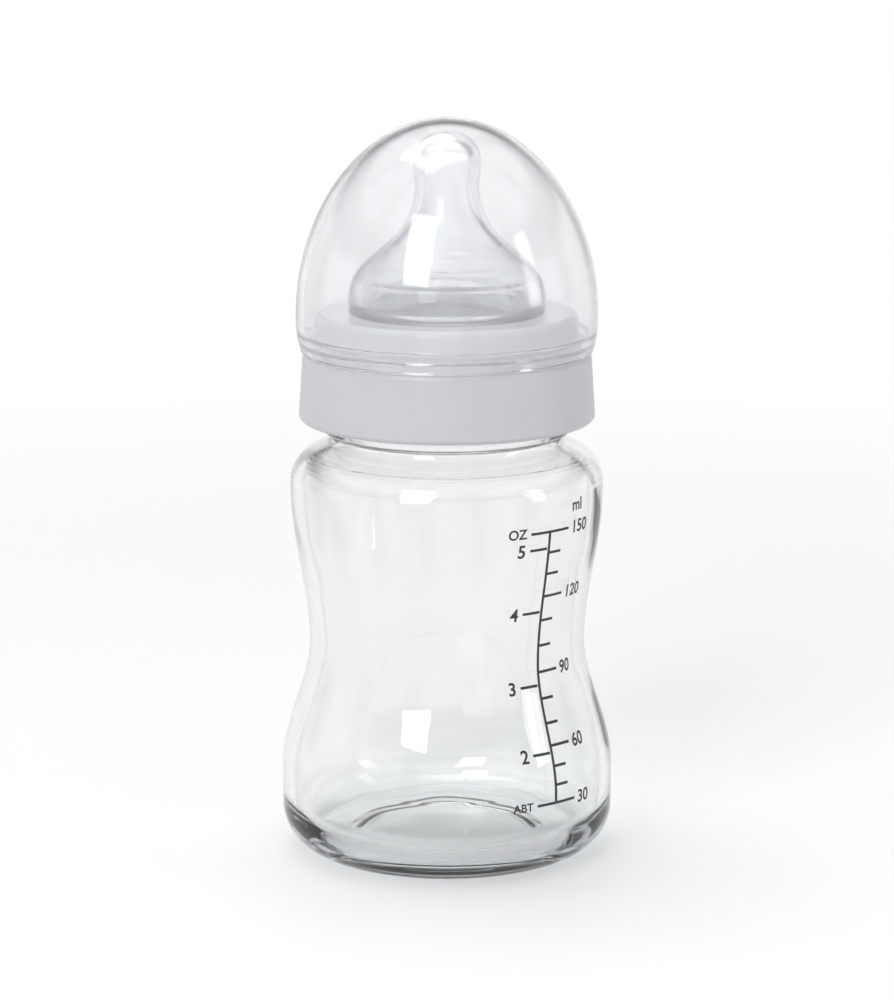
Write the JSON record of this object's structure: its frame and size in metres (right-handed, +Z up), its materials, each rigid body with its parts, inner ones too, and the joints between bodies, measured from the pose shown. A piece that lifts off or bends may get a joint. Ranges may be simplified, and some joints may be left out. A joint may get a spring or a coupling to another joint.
{
  "type": "baby bottle",
  "caption": "Waisted wide-neck glass feeding bottle with printed scale, threaded screw ring, silicone teat and clear dome cap.",
  "frame": {"origin": "centre of the foot ring, on the surface the bottle stands on", "axes": "+Z up the bottle's axis from foot to cap; the printed scale faces -Y; +X is to the right when facing the scale"},
  "size_m": [0.065, 0.0651, 0.1444],
  "materials": {
    "glass": "clear polished soda or borosilicate glass",
    "scale_ink": "fired dark grey printing ink",
    "ring_plastic": "satin light grey polypropylene",
    "silicone": "clear, slightly milky silicone",
    "cap_plastic": "clear, faintly milky polypropylene"
  },
  "bodies": {
    "bottle": {"bottle_body": "glass", "millilitre_scale": "scale_ink", "ounce_scale": "scale_ink"},
    "teat": {"teat": "silicone"},
    "ring": {"screw_ring": "ring_plastic"},
    "cap": {"dome_cap": "cap_plastic"}
  },
  "joints": [
    {"name": "teat_lift", "type": "slide", "parent": "bottle", "child": "teat", "axis": [0, 0, 1], "range_m": [0, 0.0205]},
    {"name": "ring_turn", "type": "hinge", "parent": "teat", "child": "ring", "pos_m": [0, 0, 0.1], "axis": [0, 0, 1], "range_deg": [0, 1440]},
    {"name": "cap_pull", "type": "slide", "parent": "ring", "child": "cap", "axis": [0, 0, 1], "range_m": [0, 0.05]}
  ],
  "couplings": [
    {"joint": "teat_lift", "follows": "ring_turn", "m_per_rad": 0.00079577}
  ]
}
